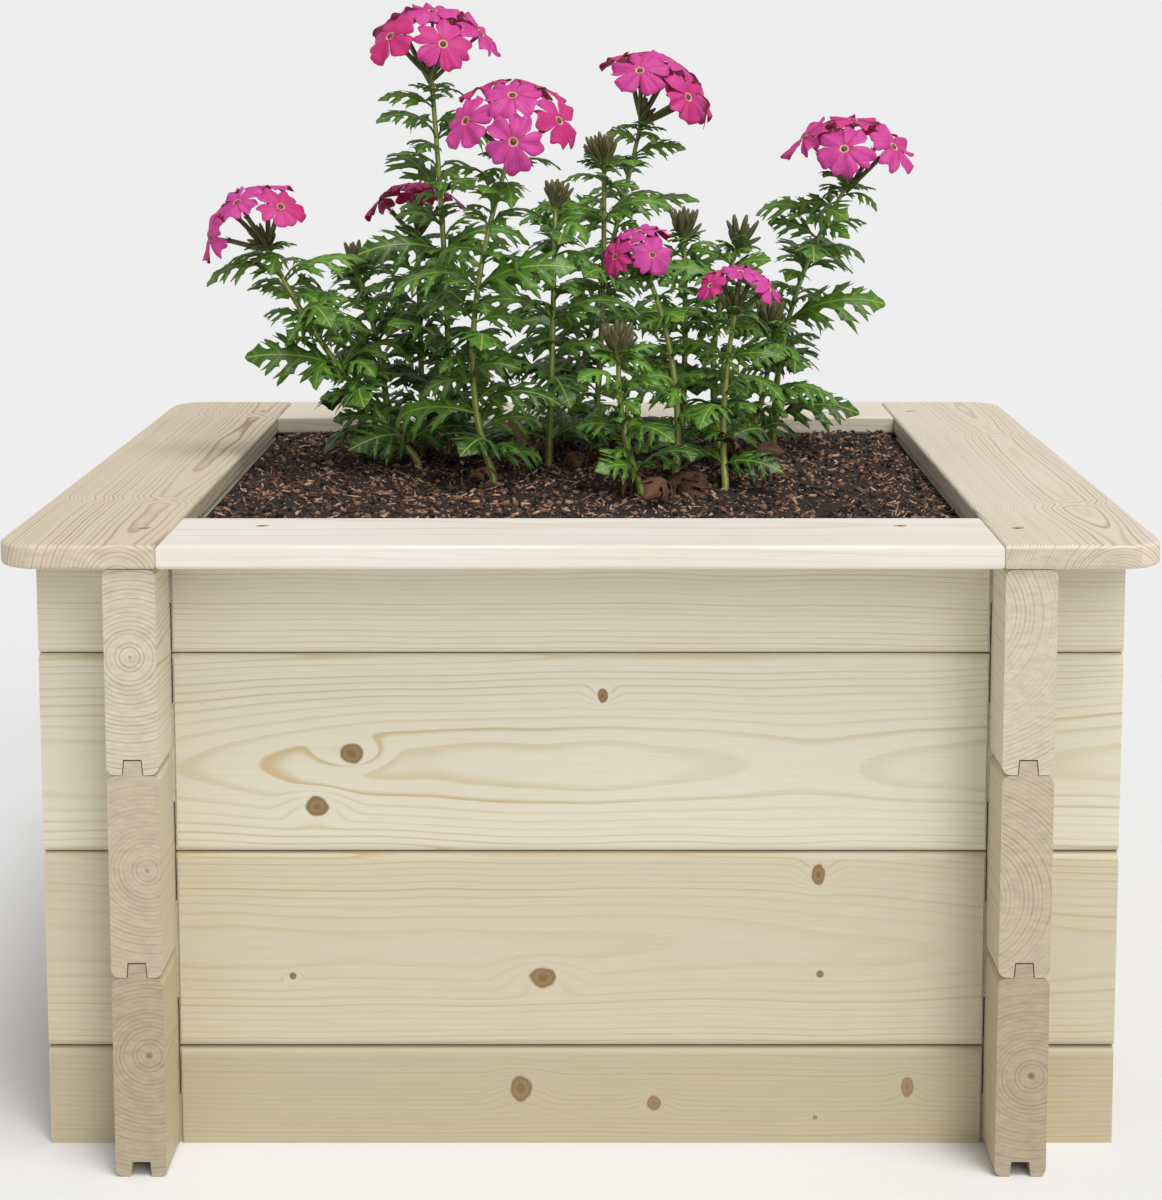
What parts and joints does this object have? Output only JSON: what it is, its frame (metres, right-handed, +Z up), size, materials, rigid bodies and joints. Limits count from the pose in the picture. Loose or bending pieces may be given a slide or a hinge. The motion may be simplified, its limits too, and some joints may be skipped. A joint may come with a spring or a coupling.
{
  "type": "planted raised bed",
  "caption": "Square raised bed of interlocked wooden boards with a flat rim, filled with potting soil and planted with verbena in bloom",
  "frame": {"origin": "on the ground under the middle of the bed", "axes": "+Z up; the front wall faces -Y; +X is to the right seen from the front"},
  "size_m": [0.626, 0.606, 0.6474],
  "materials": {
    "planed_spruce": "planed, untreated, end grain open",
    "rim_spruce": "planed, untreated, edges eased",
    "zinc_plated_steel": "zinc plated",
    "potting_soil": "loose, matt and moist",
    "verbena_foliage": "soft leaf surface",
    "verbena_petals": "soft petal surface"
  },
  "bodies": {
    "root": {"front_board_1": "planed_spruce", "front_board_2": "planed_spruce", "front_board_3": "planed_spruce", "front_board_4": "planed_spruce", "back_board_1": "planed_spruce", "back_board_2": "planed_spruce", "back_board_3": "planed_spruce", "back_board_4": "planed_spruce", "left_board_1": "planed_spruce", "left_board_2": "planed_spruce", "left_board_3": "planed_spruce", "right_board_1": "planed_spruce", "right_board_2": "planed_spruce", "right_board_3": "planed_spruce", "rim_left": "rim_spruce", "rim_right": "rim_spruce", "rim_front": "rim_spruce", "rim_back": "rim_spruce", "rim_screw_1": "zinc_plated_steel", "rim_screw_2": "zinc_plated_steel", "rim_screw_3": "zinc_plated_steel", "rim_screw_4": "zinc_plated_steel", "rim_screw_5": "zinc_plated_steel", "rim_screw_6": "zinc_plated_steel", "rim_screw_7": "zinc_plated_steel", "rim_screw_8": "zinc_plated_steel", "soil": "potting_soil", "stem_left_low": "verbena_foliage", "stem_left_front": "verbena_foliage", "stem_left_tall": "verbena_foliage", "stem_left_back": "verbena_foliage", "stem_middle_tall": "verbena_foliage", "stem_right_tall": "verbena_foliage", "stem_right_front": "verbena_foliage", "stem_middle_low": "verbena_foliage", "stem_front_bud": "verbena_foliage", "stem_right_bud": "verbena_foliage", "stem_high_bud": "verbena_foliage", "stem_side_bud": "verbena_foliage", "stem_left_bud": "verbena_foliage", "stem_middle_bud": "verbena_foliage", "stem_middle_leafy": "verbena_foliage", "bloom_left_low": "verbena_petals", "bloom_left_front": "verbena_petals", "bloom_left_tall": "verbena_petals", "bloom_left_back": "verbena_petals", "bloom_middle_tall": "verbena_petals", "bloom_right_tall": "verbena_petals", "bloom_right_front": "verbena_petals", "bloom_middle_low": "verbena_petals"}
  },
  "joints": []
}
